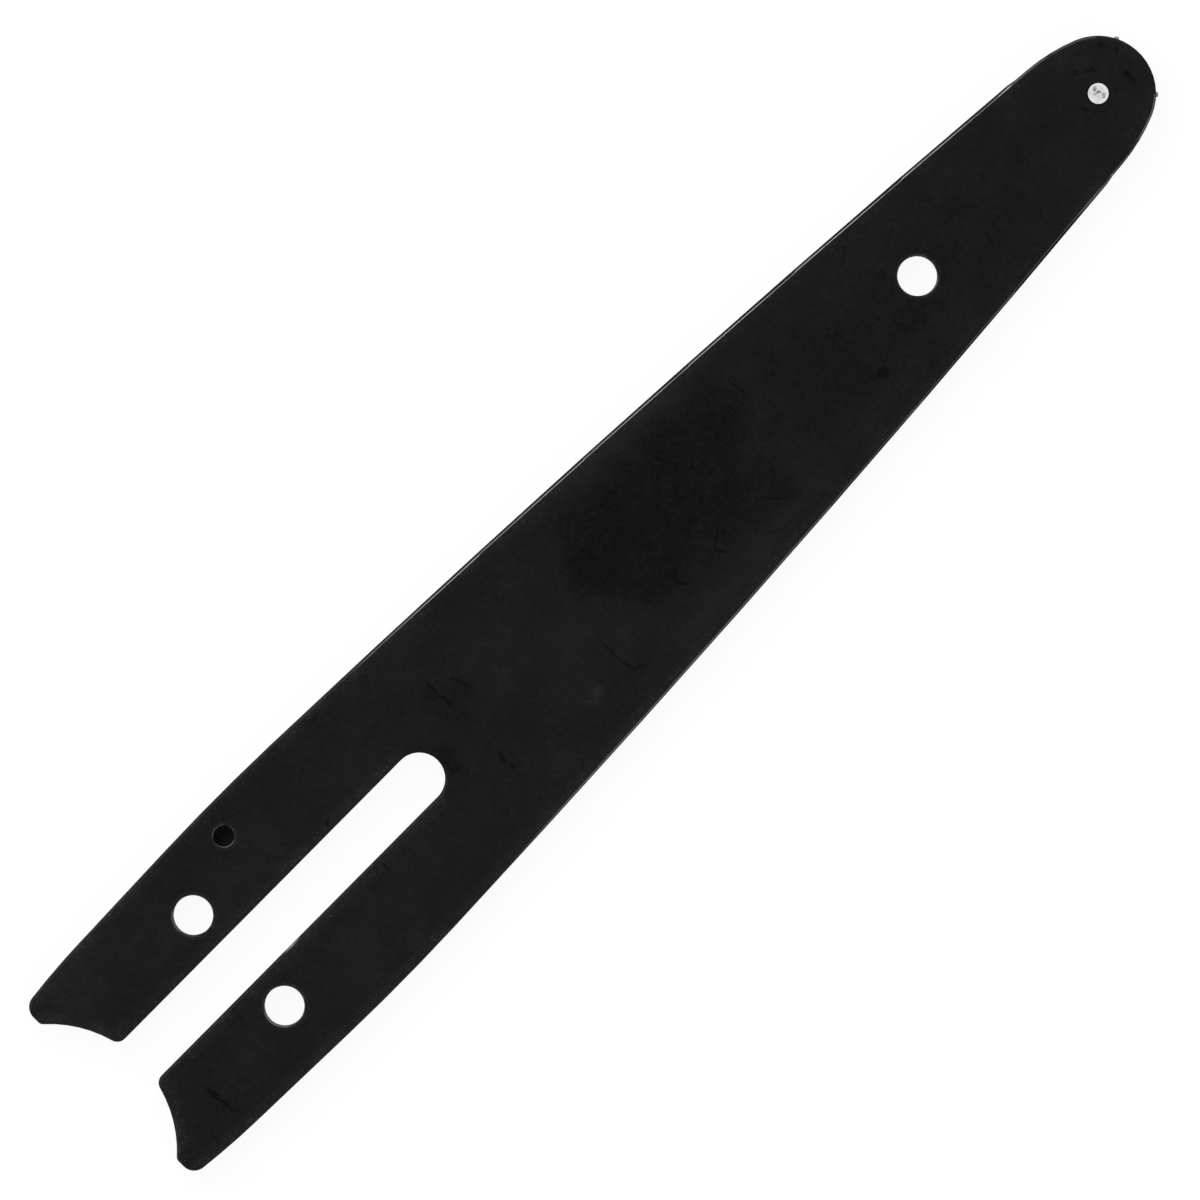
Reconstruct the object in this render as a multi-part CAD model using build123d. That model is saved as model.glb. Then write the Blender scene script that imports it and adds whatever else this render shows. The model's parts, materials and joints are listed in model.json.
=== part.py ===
from build123d import *
import math
import os

# Guide bar with a sprocket nose, for a small one-handed chain saw: two side plates and a narrower
# core plate welded into one bar, and a star wheel that turns on a riveted bush in the nose.
# X runs along the bar towards the nose, Y across it and Z through its thickness, in millimetres.
# The bar lies flat on Z = 0, and the origin is under the middle of its length and width.

# Outline of the side plates
OVERALL_LENGTH = 176.45
NOSE_RADIUS = 7.0
SHOULDER_BEHIND_RIVET = 5.9   # where the nose shoulder starts, in front of the rails
SHOULDER_RISE = 1.24          # how far the shoulder stands out past the nose radius at that place
RAMP_LENGTH = 1.1             # short ramp that leads from the end of each rail down to the shoulder
RAMP_DROP = 0.21
SHOULDER_LENGTH = 2.0         # straight run of the shoulder before it rounds into the nose
MAX_WIDTH = 31.52             # across both rails at the crown, the widest place
CROWN_FROM_TAIL = 33.9
CROWN_RADIUS = 277.0
CROWN_BACK = 8.5              # reach of the crown arc from the widest place towards the tail
CROWN_FORWARD = 9.5           # and towards the nose
TAIL_BEND_LENGTH = 10.0       # reach of the bend that draws the edges in at the tail
TAIL_BEND_DROP = 0.52         # and how far it draws them in there

# Tail end: a round bay that clears the drive sprocket, and the open slot for the bar stud
PRONG_END_WIDTH = 2.77         # flat end of each prong, before its corners are rounded
BAY_DEPTH = 5.25
SLOT_WIDTH = 6.25
SLOT_FROM_TAIL = 53.2         # tail end to the centre of the slot's round end
TAIL_CORNER = 1.8
HEEL_CORNER = 0.8
SLOT_CORNER = 1.3

# Holes
ADJUSTER_DIAMETER = 4.85
ADJUSTER_FROM_TAIL = 22.3
ADJUSTER_FROM_CROWN = 8.01    # hole centre to the line of the widest place, across the bar
HANGING_DIAMETER = 4.85
HANGING_BEHIND_RIVET = 30.94
OIL_DIAMETER = 2.5
OIL_FROM_TAIL = 31.7
OIL_FROM_CROWN = 3.91         # hole centre to the line of the widest place, across the bar
OIL_WAY_WIDTH = 3.2           # way through the core from each oil hole to the groove

# Layers
PLATE_THICKNESS = 1.0
GROOVE_WIDTH = 1.1            # gap between the side plates, which is also the core's thickness
GROOVE_DEPTH = 4.2
EDGE_ROUND = 0.4
HOLE_BREAK = 0.15

# Nose bearing
TOOTH_COUNT = 5
TOOTH_REACH = 0.28            # how far the tooth tips stand out of the nose
TOOTH_TIP_WIDTH = 0.5
TOOTH_TIP_ROUND = 0.15
TOOTH_ANGLE = 26.0            # rest place of one tooth, in degrees from the X axis
GULLET_RADIUS = 1.25
HUB_WALL = 1.15
BUSH_DIAMETER = 4.0
BUSH_CLEARANCE = 0.05         # radial running clearance of the star on its bush
SIDE_PLAY = 0.05              # gap on each side of the star
POCKET_CLEARANCE = 0.5        # gap between the tooth tips and the core
RIVET_DIAMETER = 2.0
RIVET_HEAD_DIAMETER = 2.5
RIVET_CLEARANCE = 0.02

# Places that follow from the sizes above
TOTAL_THICKNESS = 2 * PLATE_THICKNESS + GROOVE_WIDTH
TAIL_X = -OVERALL_LENGTH / 2
RIVET_X = OVERALL_LENGTH / 2 - NOSE_RADIUS
SHOULDER_PLACE = Vector(RIVET_X - SHOULDER_BEHIND_RIVET, NOSE_RADIUS + SHOULDER_RISE)
RAIL_END = SHOULDER_PLACE + Vector(-RAMP_LENGTH, RAMP_DROP)
CROWN_PLACE = (TAIL_X + CROWN_FROM_TAIL, MAX_WIDTH / 2 - CROWN_RADIUS)
SLOT_X = TAIL_X + SLOT_FROM_TAIL
ADJUSTER_Y = MAX_WIDTH / 2 - ADJUSTER_FROM_CROWN
OIL_Y = MAX_WIDTH / 2 - OIL_FROM_CROWN
TOOTH_TIP_RADIUS = NOSE_RADIUS + TOOTH_REACH
MIDDLE_AXIS = Axis((0, 0, TOTAL_THICKNESS / 2), (1, 0, 0))


def nose_meeting(shoulder):
    """Point on the nose circle where an arc that carries the shoulder line on smoothly runs into it."""
    rivet = Vector(RIVET_X, 0)
    start = shoulder @ 1 - rivet
    inward = (shoulder % 1).rotate(Axis.Z, -90)
    radius = (NOSE_RADIUS ** 2 - start.dot(start)) / (2 * (start.dot(inward) + NOSE_RADIUS))
    centre = start + inward * radius
    return rivet - centre.normalized() * NOSE_RADIUS


def upper_edge(overrun):
    """One long edge of the bar, from past the tail by the overrun to the nose."""
    back = math.degrees(math.asin(CROWN_BACK / CROWN_RADIUS))
    forward = math.degrees(math.asin(CROWN_FORWARD / CROWN_RADIUS))
    crown = CenterArc(CROWN_PLACE, CROWN_RADIUS, 90 + back, -back - forward)
    taper = crown % 0
    run = ((crown @ 0).X - TAIL_X - TAIL_BEND_LENGTH) / taper.X
    tail = Line(crown @ 0 - taper * run, crown @ 0)
    reach = TAIL_BEND_LENGTH + overrun
    drop = TAIL_BEND_DROP * (reach / TAIL_BEND_LENGTH) ** 2
    bend = TangentArc(tail @ 0, tail @ 0 - taper * (reach / taper.X) - Vector(0, drop), tangent=-taper)
    rail = TangentArc(crown @ 1, RAIL_END, tangent=crown % 1)
    ramp = Line(RAIL_END, SHOULDER_PLACE)
    shoulder = Line(SHOULDER_PLACE, SHOULDER_PLACE + (rail % 1) * SHOULDER_LENGTH)
    turn = TangentArc(shoulder @ 1, nose_meeting(shoulder), tangent=rail % 1)
    return bend, tail, crown, rail, ramp, shoulder, turn


def blank(overrun=0.0):
    """Whole outline of the bar before its tail, slot and holes are cut."""
    upper = upper_edge(overrun)
    lower = [mirror(edge, Plane.XZ) for edge in upper]
    tail_corner = upper[0] @ 1
    nose_start = upper[-1] @ 1
    nose = ThreePointArc(nose_start, (RIVET_X + NOSE_RADIUS, 0), (nose_start.X, -nose_start.Y))
    tail = Line(tail_corner, (tail_corner.X, -tail_corner.Y))
    return make_face([*upper, nose, *lower, tail])


TAIL_HALF_WIDTH = (upper_edge(0.0)[0] @ 1).Y
BAY_HALF_MOUTH = TAIL_HALF_WIDTH - PRONG_END_WIDTH
BAY_RADIUS = (BAY_HALF_MOUTH ** 2 + BAY_DEPTH ** 2) / (2 * BAY_DEPTH)
BAY_X = TAIL_X + BAY_DEPTH - BAY_RADIUS


def stud_slot():
    """Slot on the axis, open into the drive bay and round at its front end."""
    length = SLOT_X - BAY_X
    straight = Pos(SLOT_X - length / 2, 0) * Rectangle(length, SLOT_WIDTH)
    return straight + Pos(SLOT_X, 0) * Circle(SLOT_WIDTH / 2)


def drive_bay():
    return Pos(BAY_X, 0) * Circle(BAY_RADIUS)


def through_holes():
    adjuster_x = TAIL_X + ADJUSTER_FROM_TAIL
    places = Locations((adjuster_x, ADJUSTER_Y), (adjuster_x, -ADJUSTER_Y))
    hanging = Pos(RIVET_X - HANGING_BEHIND_RIVET, 0) * Circle(HANGING_DIAMETER / 2)
    return hanging + places * Circle(ADJUSTER_DIAMETER / 2)


def oil_place(side):
    return Pos(TAIL_X + OIL_FROM_TAIL, side * OIL_Y)


def round_corners(face, x, y, radius):
    """Round the pair of corners at (x, y) and (x, -y)."""
    corners = [face.vertices().sort_by_distance((x, side * y))[0] for side in (1, -1)]
    return fillet(corners, radius)


def round_slot_mouth(face):
    mouth_x = BAY_X + math.sqrt(BAY_RADIUS ** 2 - (SLOT_WIDTH / 2) ** 2)
    return round_corners(face, mouth_x, SLOT_WIDTH / 2, SLOT_CORNER)


def outer_face(plate):
    return plate.faces().sort_by(Axis.Z)[-1]


def side_plate():
    """Upper side plate, with the oil hole in the +Y prong."""
    outline = blank() - stud_slot() - drive_bay()
    outline = round_corners(outline, TAIL_X, TAIL_HALF_WIDTH, TAIL_CORNER)
    outline = round_corners(outline, TAIL_X, BAY_HALF_MOUTH, HEEL_CORNER)
    outline = round_slot_mouth(outline)
    plate = extrude(outline, PLATE_THICKNESS)
    plate = fillet(outer_face(plate).outer_wire().edges(), EDGE_ROUND)
    holes = through_holes() + oil_place(1) * Circle(OIL_DIAMETER / 2)
    plate -= extrude(holes, PLATE_THICKNESS)
    hole_rims = [edge for wire in outer_face(plate).inner_wires() for edge in wire.edges()]
    plate = chamfer(hole_rims, HOLE_BREAK)
    plate = Pos(0, 0, TOTAL_THICKNESS - PLATE_THICKNESS) * plate
    return plate - rivet_form(RIVET_CLEARANCE)


def core_plate():
    """Middle layer: inset along both rails by the groove, with a pocket for the star and two oil ways."""
    outline = offset(blank(GROOVE_DEPTH), -GROOVE_DEPTH, kind=Kind.INTERSECTION)
    outline -= stud_slot() + drive_bay() + through_holes()
    outline = round_slot_mouth(outline)
    outline -= Pos(RIVET_X, 0) * Circle(TOOTH_TIP_RADIUS + POCKET_CLEARANCE)
    for side in (1, -1):
        outline -= oil_place(side) * Circle(OIL_WAY_WIDTH / 2)
        outline -= oil_place(side) * Pos(0, side * MAX_WIDTH / 4) * Rectangle(OIL_WAY_WIDTH, MAX_WIDTH / 2)
    return Pos(0, 0, PLATE_THICKNESS) * extrude(outline, GROOVE_WIDTH)


def gullet(root):
    """Gap between two teeth, on the X axis: round at the hub, with flanks that open out to the tooth tips."""
    half_tip_angle = math.degrees(math.asin(TOOTH_TIP_WIDTH / 2 / TOOTH_TIP_RADIUS))
    corner = Vector(TOOTH_TIP_RADIUS, 0).rotate(Axis.Z, 180 / TOOTH_COUNT - half_tip_angle)
    outside = Vector(2 * TOOTH_TIP_RADIUS, 0)
    bottom = Pos(root + GULLET_RADIUS, 0) * Circle(GULLET_RADIUS)
    mouth = [Line(corner, outside), Line(outside, (corner.X, -corner.Y))]
    return make_hull([*bottom.edges(), *mouth])


def nose_sprocket():
    """Star wheel with a plain bore, a little thinner than the gap between the side plates."""
    bore = BUSH_DIAMETER / 2 + BUSH_CLEARANCE
    star = Circle(TOOTH_TIP_RADIUS)
    star -= PolarLocations(0, TOOTH_COUNT, 180 / TOOTH_COUNT) * gullet(bore + HUB_WALL)
    tips = star.vertices().filter_by(lambda corner: corner.center().length > NOSE_RADIUS)
    star = fillet(tips, TOOTH_TIP_ROUND)
    star -= Circle(bore)
    wheel = extrude(star, GROOVE_WIDTH - 2 * SIDE_PLAY)
    return Pos(RIVET_X, 0, PLATE_THICKNESS + SIDE_PLAY) * Rot(0, 0, TOOTH_ANGLE) * wheel


def sprocket_bush():
    ring = Circle(BUSH_DIAMETER / 2) - Circle(RIVET_DIAMETER / 2 + RIVET_CLEARANCE)
    return Pos(RIVET_X, 0, PLATE_THICKNESS) * extrude(ring, GROOVE_WIDTH)


def rivet_form(clearance=0.0):
    """Rivet with a flared end flush with each face, or the hole for it when given a clearance."""
    shank = RIVET_DIAMETER / 2 + clearance
    head = RIVET_HEAD_DIAMETER / 2 + clearance
    flare = head - shank
    half = Polyline((0, 0), (head, 0), (shank, flare), (shank, TOTAL_THICKNESS - flare),
                    (head, TOTAL_THICKNESS), (0, TOTAL_THICKNESS), close=True)
    profile = make_face(Plane.XZ * half)
    return Pos(RIVET_X, 0, 0) * revolve(profile, Axis.Z)


near_plate = side_plate()
pieces = {
    "near_plate": near_plate,
    "far_plate": near_plate.rotate(MIDDLE_AXIS, 180),
    "core_plate": core_plate(),
    "nose_sprocket": nose_sprocket(),
    "sprocket_bush": sprocket_bush(),
    "nose_rivet": rivet_form(),
}

os.makedirs("parts", exist_ok=True)
for name, shape in pieces.items():
    export_step(shape, f"parts/{name}.step")
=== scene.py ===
import json
import math

import bmesh
import bpy
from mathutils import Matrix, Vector


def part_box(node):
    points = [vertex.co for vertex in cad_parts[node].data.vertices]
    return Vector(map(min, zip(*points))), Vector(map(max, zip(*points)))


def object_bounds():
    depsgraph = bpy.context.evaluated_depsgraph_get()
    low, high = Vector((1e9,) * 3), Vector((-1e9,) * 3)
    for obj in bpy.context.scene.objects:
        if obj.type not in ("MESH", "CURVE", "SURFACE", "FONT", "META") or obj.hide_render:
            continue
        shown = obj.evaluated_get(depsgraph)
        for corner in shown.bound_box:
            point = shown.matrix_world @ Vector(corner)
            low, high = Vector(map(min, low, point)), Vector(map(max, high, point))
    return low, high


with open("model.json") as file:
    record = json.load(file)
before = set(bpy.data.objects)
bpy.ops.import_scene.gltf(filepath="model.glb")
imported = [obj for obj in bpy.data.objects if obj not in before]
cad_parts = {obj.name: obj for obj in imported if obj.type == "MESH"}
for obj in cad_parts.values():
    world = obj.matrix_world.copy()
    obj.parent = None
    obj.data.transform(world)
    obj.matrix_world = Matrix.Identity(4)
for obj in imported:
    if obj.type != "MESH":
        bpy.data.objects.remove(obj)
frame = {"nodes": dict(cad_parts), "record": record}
cad_low, cad_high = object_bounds()

# Looks of a black guide bar with a sprocket nose, lying flat on a white floor and seen from straight above.
# Objects are in metres. Materials work in millimetres of the bar's own frame: X to the nose, Y across, Z up.
MM = 0.001
MIDDLE = (cad_low + cad_high) / 2

# Camera: the photograph's frame, as a width on the upper face of the bar
FRAME_WIDTH = 144.61 * MM
FRAME_CENTRE = Vector((-4.4 * MM, -0.326 * MM, cad_high.z))
FRAME_TURN = math.radians(-45.254)
CAMERA_HEIGHT = 1.42
SENSOR_WIDTH = 36.0

# Stage: a flat floor that curves up into a low wall all round
FLOOR_DROP = 0.02 * MM
FLOOR_RADIUS = 2.4
COVE_RADIUS = 0.4
WALL_HEIGHT = 0.6
STAGE_SIDES = 96
COVE_STEPS = 8
FLOOR_COLOUR = (0.8, 0.8, 0.8, 1.0)
FLOOR_GLOW = 0.93             # white that the camera and reflections see, before the floor's own light
FLOOR_SHADE = 0.087           # how much of the light on the floor, and so of the shadow, the camera sees

# Light: a long soft box on the +Y side, a weaker one on the -Y side, and an even room. Sizes and distances
# are in metres and powers in watts.
ROOM_LIGHT = 0.38
KEY_SIZE = (2.0, 1.2)
KEY_DISTANCE = 1.2
KEY_POWER = 14.4
KEY_DIRECTION = (0.0, 0.75, 0.66)
FILL_SIZE = (0.8, 0.8)
FILL_DISTANCE = 1.2
FILL_POWER = 1.84
FILL_DIRECTION = (-0.15, -0.75, 0.6)

# Shader helpers
FLAT = (1.0, 1.0, 0.0)        # leaves out the height of a place
SEED_STEP = (31.7, 17.3, 7.9)
SHAKE_NOISE = (2.0, 0.5)      # detail and roughness
STROKE_OVERLAP = 1.2


class Shader:
    """One material under construction. Each call adds a node and hands back the output to link on."""

    def __init__(self, name):
        self.material = bpy.data.materials.new(name)
        self.material.use_nodes = True
        self.tree = self.material.node_tree
        self.surface = self.tree.nodes["Principled BSDF"]

    def feed(self, socket, value):
        """Links an output to a socket, or sets the socket to a plain value."""
        if isinstance(value, bpy.types.NodeSocket):
            self.tree.links.new(value, socket)
        else:
            socket.default_value = value

    def node(self, kind, inputs, **settings):
        """Adds a node, with its inputs by name or number."""
        node = self.tree.nodes.new("ShaderNode" + kind)
        for name, value in settings.items():
            setattr(node, name, value)
        for place, value in inputs.items():
            self.feed(node.inputs[place], value)
        return node

    def math(self, operation, *values, clamp=False):
        return self.node("Math", dict(enumerate(values)), operation=operation, use_clamp=clamp).outputs[0]

    def times(self, first, second):
        return self.math("MULTIPLY", first, second)

    def larger(self, first, second):
        return self.math("MAXIMUM", first, second)

    def plus(self, base, amount, share):
        """The base with a share of the amount added."""
        return self.math("MULTIPLY_ADD", amount, share, base)

    def vector(self, operation, *values):
        node = self.node("VectorMath", dict(enumerate(values)), operation=operation)
        gives_number = operation in ("LENGTH", "DISTANCE", "DOT_PRODUCT")
        return node.outputs["Value" if gives_number else "Vector"]

    def millimetres(self):
        """Place on the piece in the bar's own frame."""
        place = self.node("TexCoord", {}).outputs["Object"]
        return self.node("VectorMath", {0: place, "Scale": 1 / MM}, operation="SCALE").outputs["Vector"]

    def cloudy(self, place, size, detail, rough, seed):
        """Noise node with features of about the given size, at a place of its own for each seed."""
        moved = self.vector("ADD", place, tuple(step * seed for step in SEED_STEP))
        inputs = {"Vector": moved, "Scale": 1 / size, "Detail": detail, "Roughness": rough}
        return self.node("TexNoise", inputs)

    def noise(self, place, size, detail, rough, seed):
        """Cloudy noise around 0.5."""
        return self.cloudy(place, size, detail, rough, seed).outputs["Fac"]

    def shaken(self, place, size, reach, seed):
        """Flat place, moved about by noise, so that what is drawn there gets an uneven outline."""
        colour = self.cloudy(place, size, *SHAKE_NOISE, seed).outputs["Color"]
        move = self.vector("MULTIPLY_ADD", colour, (2 * reach,) * 3, (-reach,) * 3)
        return self.vector("MULTIPLY", self.vector("ADD", place, move), FLAT)

    def ramp(self, value, start, end, low=0.0, high=1.0):
        """Smooth change from low at start to high at end, flat outside."""
        inputs = {"Value": value, "From Min": start, "From Max": end, "To Min": low, "To Max": high}
        return self.node("MapRange", inputs, interpolation_type="SMOOTHSTEP").outputs["Result"]

    def patch(self, flat, x, y, half_length, half_width, turn, strength, softness):
        """Oval mark at a flat place: its strength inside, 0 outside, with an edge as soft as asked."""
        if turn == 0.0:
            scale = (1 / half_length, 1 / half_width, 0.0)
            shift = (-x / half_length, -y / half_width, 0.0)
            local = self.vector("MULTIPLY_ADD", flat, scale, shift)
        else:
            cosine, sine = math.cos(math.radians(turn)), math.sin(math.radians(turn))
            arm = self.vector("SUBTRACT", flat, (x, y, 0.0))
            along = self.vector("DOT_PRODUCT", arm, (cosine / half_length, sine / half_length, 0.0))
            across = self.vector("DOT_PRODUCT", arm, (-sine / half_width, cosine / half_width, 0.0))
            local = self.node("CombineXYZ", {"X": along, "Y": across}).outputs["Vector"]
        reach = self.vector("LENGTH", local)
        return self.ramp(reach, 1.0 + softness / 2, 1.0 - softness / 2, 0.0, strength)

    def patches(self, flat, ovals, softness):
        """The strongest of several oval marks at each place."""
        result = 0.0
        for oval in ovals:
            result = self.larger(result, self.patch(flat, *oval, softness))
        return result

    def strokes(self, flat, lines, softness):
        """Thin marks along lines of points. Each piece is an oval that runs a little past its ends."""
        ovals = []
        for half_width, strength, *points in lines:
            for (x0, y0), (x1, y1) in zip(points, points[1:]):
                turn = math.degrees(math.atan2(y1 - y0, x1 - x0))
                half_length = math.hypot(x1 - x0, y1 - y0) / 2 * STROKE_OVERLAP
                ovals.append(((x0 + x1) / 2, (y0 + y1) / 2, half_length, half_width, turn, strength))
        return self.patches(flat, ovals, softness)

    def mix(self, share, first, second):
        """Plain blend of two numbers."""
        inputs = {"Factor": share, 2: first, 3: second}
        return self.node("Mix", inputs, data_type="FLOAT").outputs[0]

    def band(self, value, start, full, fading, end):
        """1 between full and fading, and 0 from start back and from end on."""
        return self.times(self.ramp(value, start, full), self.ramp(value, end, fading))

    def grey(self, tone):
        """Colour of a tone that changes from place to place."""
        return self.node("CombineColor", {0: tone, 1: tone, 2: tone}).outputs[0]

    def bump(self, height, depth):
        """Normal over a height that runs from 0 to 1, for a depth in millimetres."""
        inputs = {"Height": height, "Distance": depth * MM, "Strength": 1.0}
        return self.node("Bump", inputs).outputs["Normal"]

    def finish(self, **inputs):
        """Feeds the surface's own sockets, named in lower case with underscores."""
        for name, value in inputs.items():
            socket = name.replace("_", " ").title().replace("Ior", "IOR")
            self.feed(self.surface.inputs[socket], value)
        return self.material


def grey(tone):
    """Colour of one tone all over."""
    return (tone, tone, tone, 1.0)


def nose_axis():
    """Place of the nose rivet's axis, at height 0, in millimetres."""
    low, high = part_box("nose_rivet")
    return ((low.x + high.x) / 2 / MM, (low.y + high.y) / 2 / MM, 0.0)


def crossings(axis, place):
    """Where the upper plate's mesh edges pass a place on axis 0 or 1, as values on the other of the two."""
    mesh = frame["nodes"]["near_plate"].data
    found = []
    for edge in mesh.edges:
        first, second = (mesh.vertices[index].co / MM for index in edge.vertices)
        if (first[axis] - place) * (second[axis] - place) < 0:
            share = (place - first[axis]) / (second[axis] - first[axis])
            found.append(first[1 - axis] + share * (second[1 - axis] - first[1 - axis]))
    return found


def half_width(x):
    """Half of the upper plate's width at a place along the bar."""
    return max(crossings(0, x))


def arc_through(first, second, third):
    """Centre and radius of the circle through three points."""
    ax, ay = second.x - first.x, second.y - first.y
    bx, by = third.x - first.x, third.y - first.y
    double = 2 * (ax * by - ay * bx)
    a, b = ax * ax + ay * ay, bx * bx + by * by
    offset = Vector(((by * a - ay * b) / double, (ax * b - bx * a) / double))
    return first + offset, offset.length


# Places at which the outline is read from the upper plate, in millimetres: along the bar, or across it for
# the bay and the nose
RAIL_STATIONS = (-40.0, 15.0, 70.0)
TAIL_STATIONS = (-84.0, -68.0)
SLOT_STATION = -75.0
BAY_STATIONS = (6.0, 8.0, 10.0)
NOSE_STATION = 0.1
SLOT_END_GROWTH = 2.0         # how fast the distance grows ahead of the slot's end


def edge_distance(shader, split):
    """Distance in from the nearest edge, in millimetres: rails' arc, tail's taper, slot, bay or nose.
    Ahead of the slot's round end it grows faster than it should, as the haze along the slot stops there."""
    along, across = split.outputs["X"], shader.math("ABSOLUTE", split.outputs["Y"])
    upper = shader.node("CombineXYZ", {"X": along, "Y": across}).outputs["Vector"]
    centre, radius = arc_through(*(Vector((x, half_width(x))) for x in RAIL_STATIONS))
    from_rail = shader.math("SUBTRACT", radius, shader.vector("DISTANCE", upper, (centre.x, centre.y, 0.0)))

    back, front = (half_width(x) for x in TAIL_STATIONS)
    slope = (front - back) / (TAIL_STATIONS[1] - TAIL_STATIONS[0])
    line = shader.math("MULTIPLY_ADD", along, slope, back - slope * TAIL_STATIONS[0])
    from_tail = shader.math("SUBTRACT", line, across)

    slot_half = min(abs(y) for y in crossings(0, SLOT_STATION))
    corners = [vertex.co / MM for vertex in frame["nodes"]["near_plate"].data.vertices]
    slot_end = max(corner.x for corner in corners if corner.x < 0 and abs(corner.y) < slot_half / 2)
    ahead = shader.larger(shader.math("SUBTRACT", along, slot_end - slot_half), 0.0)
    from_slot = shader.plus(shader.math("SUBTRACT", across, slot_half), ahead, SLOT_END_GROWTH)

    centre, radius = arc_through(*(Vector((min(crossings(1, y)), y)) for y in BAY_STATIONS))
    from_bay = shader.math("SUBTRACT", shader.vector("DISTANCE", upper, (centre.x, centre.y, 0.0)), radius)

    axis = nose_axis()
    tip = max(crossings(1, NOSE_STATION)) - axis[0]
    from_nose = shader.math("SUBTRACT", tip, shader.vector("DISTANCE", upper, axis))
    from_nose = shader.larger(from_nose, shader.math("SUBTRACT", axis[0], along))

    nearest = from_rail
    for distance in (from_tail, from_slot, from_bay, from_nose):
        nearest = shader.math("MINIMUM", nearest, distance)
    return nearest


def hole_rims(shader, flat, absent, full, end):
    """Rings round all bores but the absent one: 1 at the hole, fading to 0 from full to end outside it."""
    result = 0.0
    for mount in frame["record"]["mounts"]:
        if mount["kind"] == "bore" and mount["name"] != absent:
            x, y, _ = (value / MM for value in mount["pos_m"])
            radius = mount["dims"]["r_mm"]
            distance = shader.vector("DISTANCE", flat, (x, y, 0.0))
            result = shader.larger(result, shader.ramp(distance, radius + end, radius + full))
    return result


# Where the paint is hazy, worn, raw, darkened as painted shade or lightened as a painted highlight, in
# millimetres: along or across the bar, in from its edge, down from the face or out from a bore. Two numbers
# are the start and end of a change, four a band with its fades.
CROWN_FADE = (-34.0, -20.0)
RAIL_END = (75.0, 74.0)
UPPER_SIDE = (-1.0, 1.0)
HIGH_BAND = (0.0, 0.004, 0.02, 0.06)
LOW_BAND = (0.01, 0.04, 0.09, 0.16)
WORN_INSET = (1.0, 0.6)
CHIP_DEPTH = (0.35, 0.2)
WALL_DEPTH = (0.06, 0.25)
INNER_FACE = (0.9, 0.97)
RIVET_RING = (1.3, 1.55)
RIM_HAZE = (0.1, 0.7)
RIM_WEAR_AND_HIGHLIGHT = (0.12, 0.2)
RIM_DEPTH = (0.15, 0.1)
HAZE_INSET = (2.0, 0.2)
HAZE_FADE = (-30.0, 70.0)

# Noise in the paint: size of its features in millimetres, detail and roughness
BROAD = (6.0, 2.0, 0.6)
FINE = (0.6, 4.0, 0.7)
CRACKLE = (1.1, 2.0, 0.6)
UNEVEN = (3.0, 2.0, 0.6)
DUST = (0.2, 1.0, 0.5)
BREAKS = (1.2, 4.0, 0.65)
RUBS = (1.0, 2.0, 0.6)

# Uneven outlines of the marks: size of the waves and how far they reach, in millimetres
BLOTCHY = (4.0, 1.6)
WAVY = (0.9, 0.22)

# Width of the marks' soft edges, as a share of their half width
CLOUD_SOFTNESS = 1.1
PALE_SOFTNESS = 1.2
SMUDGE_SOFTNESS = 1.1
CHIP_SOFTNESS = 0.6
SCRATCH_SOFTNESS = 1.2
WEAR_SOFTNESS = 0.3
RIM_SOFTNESS = 0.8

# How noise becomes a mark: start and end in the noise and, where they aren't 0 and 1, the values there
GRAIN_SPAN = (0.3, 0.7)
VEIN_SPAN = (0.05, 0.0)
SCRATCH_BREAKS = (0.6, 0.46, 0.4, 1.0)
FILM_GRAIN = (0.35, 0.65, 0.95, 0.75)
HAZE_UNEVEN = (0.35, 0.65, 0.5, 1.4)
SPECK_SPAN = (0.6, 0.74)
WORN_BREAKS = (0.25, 0.5, 0.55, 1.0)
RIM_RUBS = (0.4, 0.6, 0.0, 0.25)

# Strengths of the film and the haze
RING_FILM = 0.9               # film round the rivet
VEIN_FILM = 0.08              # film in the fine veins away from the clouds
VEIN_CLOUD = 0.4              # and what a cloud adds to them
NOSE_HAZE = 0.45              # share of the edge haze that is left at the nose
FACE_SPECKS = 0.15            # specks away from the haze
HAZE_SPECKS = 0.85            # and what the haze adds to them
WALL_SPECKS = 0.2             # share of the specks that is left on walls

# Paint in linear grey: the tone over the grain, shares of it, and what marks add or end up as
PAINT_TONES = (0.00435, 0.008)
BROAD_SHARES = (0.88, 1.12)
FILM_SHARE = 0.2
# Share of the tone left on walls, darkened as painted shade
WALL_SHADE_SHARE = 0.5
HAZE_TONE = 0.00435
PALE_TONE = 0.00174
SMUDGE_TONE = 0.0078
SPECK_TONE = 0.03
# Lighter tone at the holes' edges: partly worn paint, partly a painted highlight
RIM_WEAR_AND_HIGHLIGHT_TONE = 0.174
INNER_TONE = 0.0174
BARE_TONE = 0.26

# Gloss of the paint
PAINT_ROUGHNESS = (0.35, 0.43)
FILM_SMOOTHING = -0.1
HAZE_ROUGHENING = 0.03
WALL_ROUGHNESS = 0.85
BARE_ROUGHNESS = 0.34
PAINT_SPECULAR = 0.13
PAINT_GRAIN_DEPTH = 0.006


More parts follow.
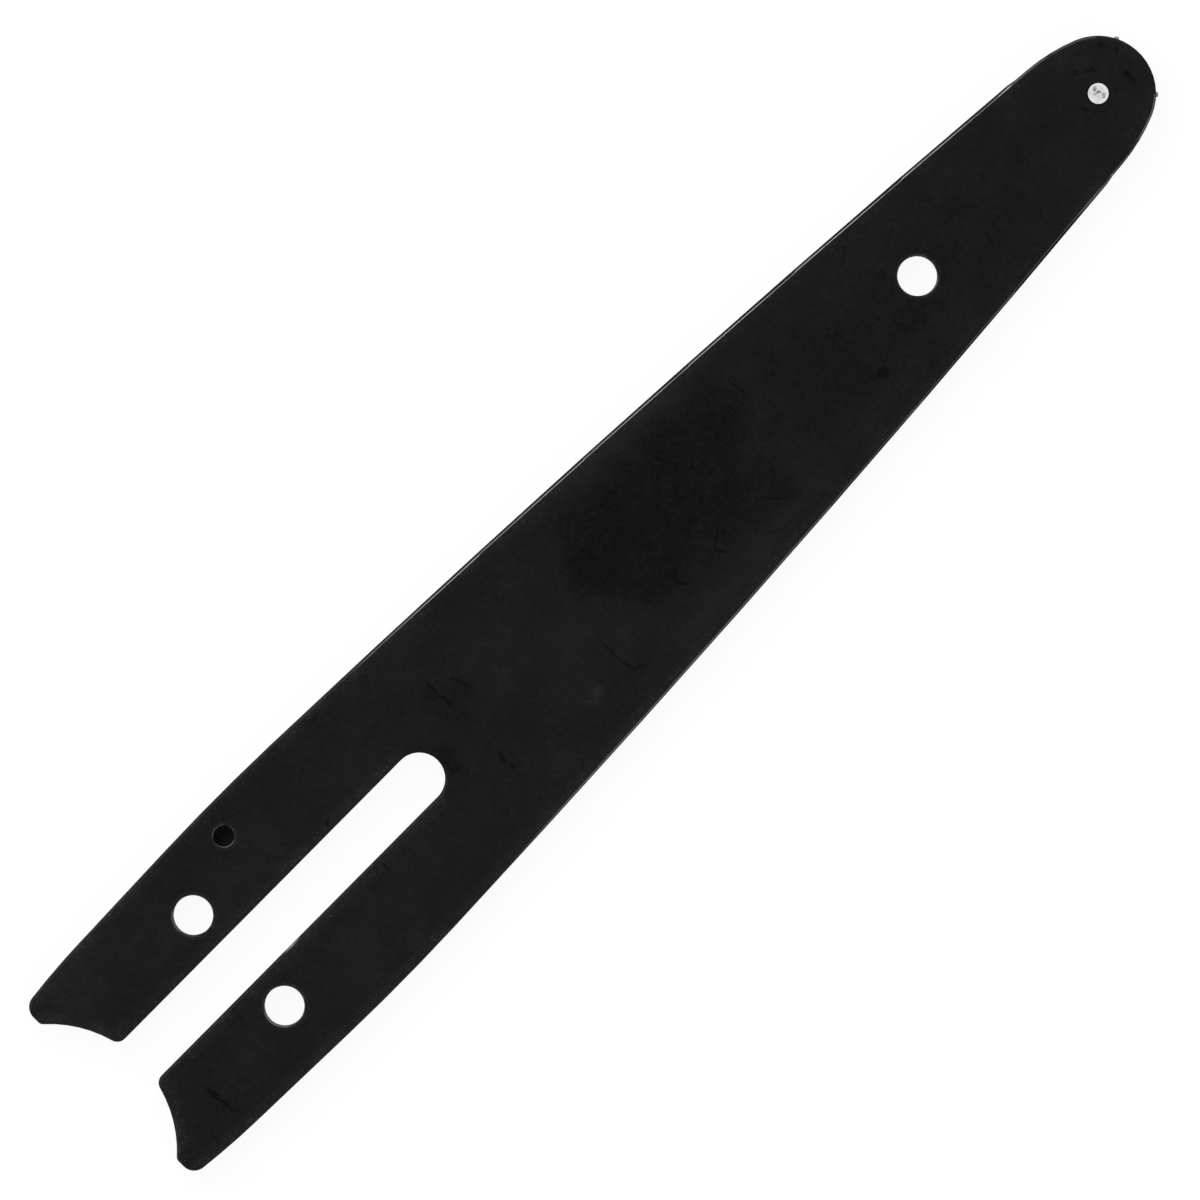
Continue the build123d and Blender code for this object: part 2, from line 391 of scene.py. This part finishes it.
def black_paint(name, absent, marks, seed):
    """Satin black paint with an oily film in clouds, scratches, dust and rails worn to bare steel, walls
    darkened as painted shade, and a lighter ring at the holes' edges that is partly worn paint and partly
    painted highlight.
    """
    shader = Shader(name)
    place = shader.millimetres()
    flat = shader.vector("MULTIPLY", place, FLAT)
    split = shader.node("SeparateXYZ", {0: place})
    along, across = split.outputs["X"], split.outputs["Y"]
    inset = edge_distance(shader, split)
    height = shader.math("ABSOLUTE", shader.math("SUBTRACT", split.outputs["Z"], MIDDLE.z / MM))
    depth = shader.math("SUBTRACT", (cad_high.z - MIDDLE.z) / MM, height)

    # Marks placed one by one
    blotchy = shader.shaken(place, *BLOTCHY, seed + 1)
    wavy = shader.shaken(place, *WAVY, seed + 2)
    cloud = shader.patches(blotchy, marks["clouds"], CLOUD_SOFTNESS)
    pale = shader.patches(blotchy, marks["pale"], PALE_SOFTNESS)
    smudge = shader.patches(wavy, marks["smudges"], SMUDGE_SOFTNESS)
    chip = shader.patches(wavy, marks["chips"], CHIP_SOFTNESS)
    chip = shader.times(chip, shader.ramp(depth, *CHIP_DEPTH))
    ring = shader.ramp(shader.vector("DISTANCE", flat, nose_axis()), *RIVET_RING, RING_FILM, 0.0)

    # Film: clouds, fine veins, scratches and a ring round the rivet
    broad = shader.noise(place, *BROAD, seed + 3)
    fine = shader.noise(place, *FINE, seed + 4)
    crackle = shader.noise(place, *CRACKLE, seed + 5)
    veins = shader.ramp(shader.math("ABSOLUTE", shader.math("SUBTRACT", crackle, 0.5)), *VEIN_SPAN)
    ragged = shader.ramp(fine, *SCRATCH_BREAKS)
    scratch = shader.times(shader.strokes(wavy, marks["scratches"], SCRATCH_SOFTNESS), ragged)
    film = shader.times(cloud, shader.ramp(fine, *FILM_GRAIN))
    film = shader.plus(film, veins, shader.math("MULTIPLY_ADD", cloud, VEIN_CLOUD, VEIN_FILM))
    film = shader.math("ADD", film, shader.larger(scratch, ring), clamp=True)

    # Haze along the edges and round the holes, and specks of dust
    haze = shader.ramp(inset, *HAZE_INSET)
    haze = shader.times(haze, shader.ramp(along, *HAZE_FADE, 1.0, NOSE_HAZE))
    uneven = shader.ramp(shader.noise(place, *UNEVEN, seed + 8), *HAZE_UNEVEN)
    haze = shader.times(haze, uneven)
    haze = shader.larger(haze, hole_rims(shader, flat, absent, *RIM_HAZE))
    speck = shader.ramp(shader.noise(place, *DUST, seed + 6), *SPECK_SPAN)
    speck = shader.times(speck, shader.math("MULTIPLY_ADD", haze, HAZE_SPECKS, FACE_SPECKS))
    speck = shader.times(speck, shader.ramp(depth, *WALL_DEPTH, 1.0, WALL_SPECKS))

    # Bare steel along the rails and in chips, a lighter ring at the holes' edges that is partly worn paint
    # and partly painted highlight, rough walls darkened as painted shade, and the plate's inner face
    high = shader.times(shader.band(depth, *HIGH_BAND), shader.ramp(across, *UPPER_SIDE))
    high = shader.times(high, shader.ramp(along, *CROWN_FADE))
    high = shader.times(high, shader.ramp(along, *RAIL_END))
    low = shader.times(shader.band(depth, *LOW_BAND), shader.patches(flat, marks["wear"], WEAR_SOFTNESS))
    worn = shader.ramp(shader.noise(place, *BREAKS, seed + 7), *WORN_BREAKS)
    worn = shader.times(worn, shader.ramp(inset, *WORN_INSET))
    bare = shader.times(shader.larger(high, low), worn)
    bare = shader.larger(bare, chip)
    # Lighter ring at the holes' edges, partly worn paint and partly a painted highlight
    rim_wear_and_highlight = shader.times(hole_rims(shader, flat, absent, *RIM_WEAR_AND_HIGHLIGHT), shader.ramp(depth, *RIM_DEPTH))
    rubs_and_highlights = shader.ramp(shader.noise(place, *RUBS, seed + 9), *RIM_RUBS)
    rubs_and_highlights = shader.larger(rubs_and_highlights, shader.patches(flat, marks["rims"], RIM_SOFTNESS))
    rim_wear_and_highlight = shader.times(rim_wear_and_highlight, rubs_and_highlights)
    wall = shader.ramp(depth, *WALL_DEPTH)
    inner = shader.ramp(depth, *INNER_FACE)

    tone = shader.ramp(fine, *GRAIN_SPAN, *PAINT_TONES)
    tone = shader.times(tone, shader.ramp(broad, *GRAIN_SPAN, *BROAD_SHARES))
    tone = shader.plus(tone, haze, HAZE_TONE)
    tone = shader.plus(tone, pale, PALE_TONE)
    tone = shader.times(tone, shader.ramp(film, 0.0, 1.0, 1.0, FILM_SHARE))
    # Walls are darkened to half the tone as painted shade, in the bores and along the sides
    tone = shader.times(tone, shader.ramp(wall, 0.0, 1.0, 1.0, WALL_SHADE_SHARE))
    tone = shader.plus(tone, smudge, SMUDGE_TONE)
    tone = shader.plus(tone, speck, SPECK_TONE)
    tone = shader.plus(tone, rim_wear_and_highlight, RIM_WEAR_AND_HIGHLIGHT_TONE)
    tone = shader.mix(inner, tone, INNER_TONE)
    tone = shader.mix(bare, tone, BARE_TONE)
    colour = shader.grey(tone)

    rough = shader.ramp(broad, *GRAIN_SPAN, *PAINT_ROUGHNESS)
    rough = shader.plus(rough, film, FILM_SMOOTHING)
    rough = shader.plus(rough, haze, HAZE_ROUGHENING)
    rough = shader.mix(wall, rough, WALL_ROUGHNESS)
    rough = shader.mix(bare, rough, BARE_ROUGHNESS)
    return shader.finish(base_color=colour, metallic=bare, roughness=rough,
                         specular_ior_level=PAINT_SPECULAR, normal=shader.bump(fine, PAINT_GRAIN_DEPTH))


# Steel: noise, spans, tones and shares are given as for the paint, and depths in millimetres
STEEL_SPAN = (0.25, 0.75)

# Edges of the core
SHEAR_STRETCH = (1.0, 1.0, 0.12)    # draws the noise out through the thickness
SHEAR_MARKS = (0.35, 4.0, 0.6)
SPRAY = (4.0, 3.0, 0.55)
CORE_SEED = 31.0
SPRAY_SPAN = (0.42, 0.62, 0.15, 0.85)
BORE_SPRAY = (0.3, 0.6)       # out from a bore, in millimetres
CORE_TONES = (0.12, 0.28)
SPRAY_TONE = 0.013
CORE_ROUGHNESS = (0.55, 0.38)
SPRAY_METAL = 0.2
SHEAR_DEPTH = 0.02

# Ground steel in the nose
RING_WANDER = (1.5, 2.0, 0.5)
RING_MARKS = (0.12, 3.0, 0.6)
GRIME = (0.4, 4.0, 0.65)
GRIME_SPAN = (0.45, 0.75, 1.0, 0.8)
STAIN_WAVES = (0.3, 0.06)
STAIN_SOFTNESS = 1.0
STAIN_SHARE = 0.2
STAIN_ROUGHENING = 0.1
RING_ROUGHENING = 0.1
RING_DEPTH = 0.01
STEEL_METAL = 0.95


def core_steel():
    """Blanked edges of the middle layer: dull steel with upright shear marks and black overspray."""
    shader = Shader("core_steel")
    place = shader.millimetres()
    streaks = shader.noise(shader.vector("MULTIPLY", place, SHEAR_STRETCH), *SHEAR_MARKS, CORE_SEED)
    spray = shader.ramp(shader.noise(place, *SPRAY, CORE_SEED + 1), *SPRAY_SPAN)
    flat = shader.vector("MULTIPLY", place, FLAT)
    spray = shader.larger(spray, hole_rims(shader, flat, None, *BORE_SPRAY))
    steel = shader.ramp(streaks, *STEEL_SPAN, *CORE_TONES)
    colour = shader.grey(shader.mix(spray, steel, SPRAY_TONE))
    rough = shader.ramp(streaks, *STEEL_SPAN, *CORE_ROUGHNESS)
    metal = shader.mix(spray, 1.0, SPRAY_METAL)
    return shader.finish(base_color=colour, metallic=metal, roughness=rough,
                         normal=shader.bump(streaks, SHEAR_DEPTH))


def turned_steel(name, light, dark, rough, stains, seed):
    """Dull ground steel with fine marks round the nose axis and stains placed from that axis."""
    shader = Shader(name)
    place = shader.millimetres()
    arm = shader.vector("MULTIPLY", shader.vector("SUBTRACT", place, nose_axis()), FLAT)
    radius = shader.vector("LENGTH", arm)
    wander = shader.noise(place, *RING_WANDER, seed)
    rings = shader.node("CombineXYZ", {"X": radius, "Z": wander}).outputs["Vector"]
    marks = shader.noise(rings, *RING_MARKS, seed + 1)
    blot = shader.patches(shader.shaken(arm, *STAIN_WAVES, seed + 2), stains, STAIN_SOFTNESS)
    grime = shader.ramp(shader.noise(place, *GRIME, seed + 3), *GRIME_SPAN)
    tone = shader.times(shader.ramp(marks, *STEEL_SPAN, dark, light), grime)
    tone = shader.times(tone, shader.ramp(blot, 0.0, 1.0, 1.0, STAIN_SHARE))
    colour = shader.grey(tone)
    dull = shader.ramp(marks, *STEEL_SPAN, rough, rough + RING_ROUGHENING)
    dull = shader.plus(dull, blot, STAIN_ROUGHENING)
    return shader.finish(base_color=colour, metallic=STEEL_METAL, roughness=dull,
                         normal=shader.bump(marks, RING_DEPTH))


# Marks on the faces, in millimetres. Ovals: x, y, half length, half width, turn in degrees and strength.
# Scratches: half width, strength and the points that the line goes through.
NEAR_MARKS = {
    "clouds": [
        (7.5, 3.0, 12.5, 6.5, -3.0, 0.75),
        (3.0, 7.0, 6.0, 3.0, 8.0, 0.7),
        (-1.5, 3.0, 4.5, 4.0, 0.0, 0.85),
        (5.0, -1.5, 7.0, 4.5, 0.0, 0.7),
        (13.0, -2.5, 7.0, 3.5, 0.0, 0.7),
        (17.0, 5.5, 9.0, 4.5, -8.0, 0.7),
        (24.0, 5.0, 5.0, 4.0, 0.0, 0.35),
        (18.0, -5.0, 5.0, 3.0, 0.0, 0.4),
        (-25.5, 3.0, 3.5, 4.5, 0.0, 0.35),
        (-23.0, -3.0, 5.0, 3.5, 0.0, 0.25),
        (-31.0, -0.7, 1.7, 2.2, 0.0, 0.55),
        (-27.5, -1.5, 6.0, 4.5, 0.0, 0.2),
        (-39.1, 14.1, 1.3, 0.5, 0.0, 0.5),
        (-46.9, 3.9, 0.6, 0.35, 0.0, 0.6),
        (46.0, -3.2, 2.8, 2.2, 0.0, 0.5),
        (50.5, -4.6, 3.5, 1.2, -5.0, 0.35),
        (59.5, 2.3, 2.5, 1.0, -40.0, 0.4),
        (38.7, -5.4, 0.9, 0.6, -45.0, 1.0),
        (40.6, 2.5, 0.8, 0.6, 0.0, 0.4),
        (38.6, 2.1, 0.8, 0.5, 0.0, 0.5),
        (39.6, -1.8, 0.8, 0.5, -45.0, 0.5),
        (39.3, -7.4, 0.7, 0.5, -45.0, 0.35),
        (51.5, 6.1, 0.7, 0.5, 0.0, 0.3),
        (47.2, 3.1, 0.8, 0.6, 0.0, 0.5),
        (62.0, 0.5, 18.0, 6.0, 0.0, 0.2),
        (35.0, 0.0, 16.0, 9.0, 0.0, 0.3),
    ],
    "pale": [
        (-46.0, -9.5, 30.0, 5.0, 0.0, 0.6),
        (-15.0, -2.0, 8.0, 7.0, 0.0, 0.7),
        (-82.0, 12.0, 10.0, 4.0, 0.0, 1.0),
        (-60.0, 6.0, 25.0, 3.5, 0.0, 0.7),
        (83.0, 1.0, 5.0, 6.0, 0.0, 0.5),
        (8.0, 12.2, 15.0, 1.4, -4.0, 1.5),
        (12.0, -10.0, 18.0, 1.6, 4.0, 1.3),
    ],
    "smudges": [
        (-12.9, -8.0, 1.3, 0.9, 10.0, 0.5),
        (-12.5, -7.9, 0.75, 0.6, 30.0, 1.0),
        (-13.9, -8.1, 0.35, 0.3, 0.0, 1.1),
        (-12.3, -7.6, 0.25, 0.2, 0.0, 1.7),
    ],
    "chips": [
        (-75.4, 15.3, 0.6, 0.1, 2.0, 0.8),
        (-72.3, 15.42, 0.35, 0.12, 2.0, 0.8),
        (-60.0, -3.2, 1.1, 0.16, 3.0, 0.8),
        # The last chip is bare steel set where the rail's lower step catches the light: a painted highlight
        (75.4, -8.12, 0.2, 0.08, -20.0, 0.7),
    ],
    "wear": [
        (24.0, -11.5, 54.0, 7.0, 4.0, 0.5),
        (77.0, 8.0, 3.0, 2.0, 0.0, 0.3),
        (83.5, 6.5, 3.0, 2.5, 0.0, 0.18),
        (83.9, -6.6, 3.4, 2.1, 0.0, 0.7),
        (77.0, -8.0, 3.0, 2.0, 0.0, 0.1),
    ],
    # Where the lighter ring at the holes' edges is strongest: partly wear, partly painted highlight
    "rims": [
        (-68.2, 8.8, 1.3, 1.3, 0.0, 0.8),
        (-68.4, -7.75, 1.2, 1.2, 0.0, 1.0),
        (-68.0, -9.2, 1.2, 1.2, 0.0, 0.7),
        (50.6, -2.5, 1.5, 1.0, 0.0, 0.5),
        (-57.0, 13.1, 0.9, 0.8, 0.0, 0.4),
        (-57.0, 10.6, 0.9, 0.8, 0.0, 0.4),
    ],
    "scratches": [
        (0.28, 1.3, (85.25, -0.4), (85.5, -1.1), (85.35, -2.0)),
        (0.3, 0.65, (85.9, 4.1), (85.4, 3.6)),
        (0.28, 0.8, (86.7, 2.3), (86.1, 1.8)),
        (0.28, 0.85, (81.2, 4.0), (80.8, 3.5)),
        (0.28, 1.5, (82.1, 3.2), (82.4, 2.6), (83.1, 2.5)),
        (0.15, 0.8, (78.4, 0.5), (79.0, -0.9), (80.1, -2.0)),
        (0.25, 0.6, (44.9, 7.2), (46.5, 8.6)),
        (0.14, 0.9, (-7.8, -4.6), (-7.9, -7.1), (-7.4, -9.3), (-6.5, -9.4)),
        (0.22, 0.7, (-26.1, 7.9), (-26.2, 5.6), (-26.0, 3.7)),
        (0.18, 0.9, (-23.6, 5.4), (-22.8, 3.6)),
        (0.2, 1.1, (-25.9, -4.6), (-26.3, -6.1), (-26.0, -7.3)),
        (0.14, 0.9, (5.0, -3.7), (3.5, -5.3), (4.6, -6.7)),
        (0.14, 0.9, (11.3, -4.6), (9.5, -6.0), (11.1, -7.8)),
        (0.3, 1.4, (-79.5, -8.3), (-79.4, -10.3), (-79.1, -12.2)),
        (0.1, 0.5, (17.9, -5.2), (20.0, -7.7)),
        (0.1, 0.5, (12.8, -7.8), (16.8, -9.6)),
        (0.12, 0.85, (25.4, 6.9), (25.6, 5.0)),
        (0.1, 0.35, (29.7, 3.9), (26.7, 0.9)),
        (0.12, 0.4, (-12.3, 10.7), (-13.0, 8.3)),
        (0.14, 1.1, (-45.4, -4.0), (-45.4, -5.2)),
    ],
}
FAR_MARKS = {
    "clouds": [
        (-10.0, -2.0, 14.0, 7.0, -8.0, 0.6),
        (34.0, 3.0, 8.0, 4.0, 15.0, 0.4),
        (-60.0, 10.0, 6.0, 3.0, 0.0, 0.3),
    ],
    "pale": [
        (-45.0, 9.0, 28.0, 4.0, 0.0, 0.8),
        (60.0, -2.0, 18.0, 5.0, 0.0, 0.6),
    ],
    "smudges": [
        (8.0, 6.0, 1.6, 1.0, 30.0, 0.5),
    ],
    "chips": [
        (-70.0, -15.45, 0.5, 0.12, -3.0, 0.8),
    ],
    "wear": [
        (24.0, -11.5, 54.0, 7.0, 4.0, 0.5),
        (83.0, 0.0, 6.0, 8.0, 0.0, 0.25),
    ],
    # Where the lighter ring at the holes' edges is strongest: partly wear, partly painted highlight
    "rims": [
        (-68.3, 7.0, 1.3, 1.3, 0.0, 0.7),
        (-64.5, -9.8, 1.2, 1.2, 0.0, 0.6),
        (48.5, 1.8, 1.2, 1.0, 0.0, 0.5),
    ],
    "scratches": [
        (0.14, 0.7, (-39.0, 7.4), (-36.0, 8.2), (-33.0, 8.4)),
        (0.14, 0.6, (21.3, -6.0), (22.7, -2.0)),
        (0.16, 0.7, (58.8, 3.2), (61.2, 1.8)),
    ],
}
# Stains on the rivet, as ovals placed from its own axis
RIVET_STAINS = [
    (0.05, 0.0, 0.95, 0.95, 0.0, 0.2),
    (0.08, 0.68, 0.38, 0.28, 45.0, 0.5),
    (0.0, 0.6, 0.2, 0.14, 0.0, 0.75),
    (0.1, 0.16, 0.26, 0.17, 0.0, 0.75),
    (0.28, -0.06, 0.15, 0.12, 0.0, 0.7),
    (0.3, -0.62, 0.42, 0.28, 45.0, 0.5),
    (-0.67, 0.74, 0.25, 0.15, 45.0, 0.3),
    (-0.34, 0.23, 0.25, 0.2, 0.0, 0.4),
]


def dress(node, material):
    """Gives all slots of a solid one material."""
    for slot in frame["nodes"][node].material_slots:
        slot.material = material


dress("near_plate", black_paint("black_paint_near", absent="oil_hole_far", marks=NEAR_MARKS, seed=10.0))
dress("far_plate", black_paint("black_paint_far", absent="oil_hole_near", marks=FAR_MARKS, seed=50.0))
dress("core_plate", core_steel())
dress("nose_sprocket", turned_steel("sprocket_steel", light=0.65, dark=0.435, rough=0.36,
                                    stains=[], seed=70.0))
dress("sprocket_bush", turned_steel("bush_steel", light=0.52, dark=0.435, rough=0.4,
                                    stains=[], seed=80.0))
dress("nose_rivet", turned_steel("rivet_steel", light=0.98, dark=0.86, rough=0.7,
                                 stains=RIVET_STAINS, seed=90.0))


def stage_material():
    """Pale floor that the camera and reflections see as white, with the object's faint shadow."""
    shader = Shader("white_stage")
    tree = shader.tree
    path = shader.node("LightPath", {})
    seen = shader.larger(path.outputs["Is Camera Ray"], path.outputs["Is Glossy Ray"])
    seen = shader.larger(seen, path.outputs["Is Transmission Ray"])
    plain = shader.node("BsdfDiffuse", {"Color": FLOOR_COLOUR}).outputs[0]
    faint = shader.node("BsdfDiffuse", {"Color": grey(FLOOR_SHADE)}).outputs[0]
    glow = shader.node("Emission", {"Color": grey(1.0), "Strength": FLOOR_GLOW}).outputs[0]
    white = shader.node("AddShader", {0: faint, 1: glow}).outputs[0]
    surface = shader.node("MixShader", {0: seen, 1: plain, 2: white}).outputs[0]
    tree.nodes.remove(shader.surface)
    tree.links.new(surface, tree.nodes["Material Output"].inputs["Surface"])
    shader.material.cycles.emission_sampling = "NONE"
    return shader.material


def add_stage():
    """Adds the floor, the curve round it and the low wall, as rings of one mesh."""
    profile = [(FLOOR_RADIUS, 0.0)]
    for step in range(1, COVE_STEPS + 1):
        angle = math.pi / 2 * step / COVE_STEPS
        profile.append((FLOOR_RADIUS + COVE_RADIUS * math.sin(angle), COVE_RADIUS * (1 - math.cos(angle))))
    profile.append((FLOOR_RADIUS + COVE_RADIUS, WALL_HEIGHT))
    shape = bmesh.new()
    rings = []
    for radius, height in profile:
        ring = []
        for side in range(STAGE_SIDES):
            turn = 2 * math.pi * side / STAGE_SIDES
            ring.append(shape.verts.new((radius * math.cos(turn), radius * math.sin(turn), height)))
        rings.append(ring)
    shape.faces.new(rings[0])
    for lower, upper in zip(rings, rings[1:]):
        for side in range(STAGE_SIDES):
            after = (side + 1) % STAGE_SIDES
            shape.faces.new((lower[side], lower[after], upper[after], upper[side])).smooth = True
    mesh = bpy.data.meshes.new("stage")
    shape.to_mesh(mesh)
    shape.free()
    mesh.materials.append(stage_material())
    floor = bpy.data.objects.new("stage", mesh)
    floor.location = (MIDDLE.x, MIDDLE.y, cad_low.z - FLOOR_DROP)
    bpy.context.scene.collection.objects.link(floor)


def add_lamp(name, direction, distance, size, power):
    """Adds a soft box that faces the middle of the bar from a direction, unseen by the camera."""
    data = bpy.data.lights.new(name, "AREA")
    data.shape = "RECTANGLE"
    data.size, data.size_y = size
    data.energy = power
    lamp = bpy.data.objects.new(name, data)
    back = Vector(direction).normalized()
    lamp.location = MIDDLE + back * distance
    lamp.rotation_mode = "QUATERNION"
    lamp.rotation_quaternion = (-back).to_track_quat("-Z", "Y")
    lamp.visible_camera = False
    bpy.context.scene.collection.objects.link(lamp)


def add_room():
    """Adds the even light from all round."""
    world = bpy.data.worlds.new("room")
    world.use_nodes = True
    backdrop = world.node_tree.nodes["Background"]
    backdrop.inputs["Color"].default_value = grey(1.0)
    backdrop.inputs["Strength"].default_value = ROOM_LIGHT
    bpy.context.scene.world = world


def add_camera():
    """Adds a camera that looks straight down on the photograph's frame."""
    data = bpy.data.cameras.new("camera")
    data.sensor_width = SENSOR_WIDTH
    data.lens = SENSOR_WIDTH * CAMERA_HEIGHT / FRAME_WIDTH
    camera = bpy.data.objects.new("camera", data)
    camera.location = FRAME_CENTRE + Vector((0.0, 0.0, CAMERA_HEIGHT))
    camera.rotation_euler = (0.0, 0.0, FRAME_TURN)
    bpy.context.scene.collection.objects.link(camera)
    bpy.context.scene.camera = camera


add_stage()
add_lamp("key", KEY_DIRECTION, KEY_DISTANCE, KEY_SIZE, KEY_POWER)
add_lamp("fill", FILL_DIRECTION, FILL_DISTANCE, FILL_SIZE, FILL_POWER)
add_room()
add_camera()
bpy.context.scene.view_settings.view_transform = "Standard"
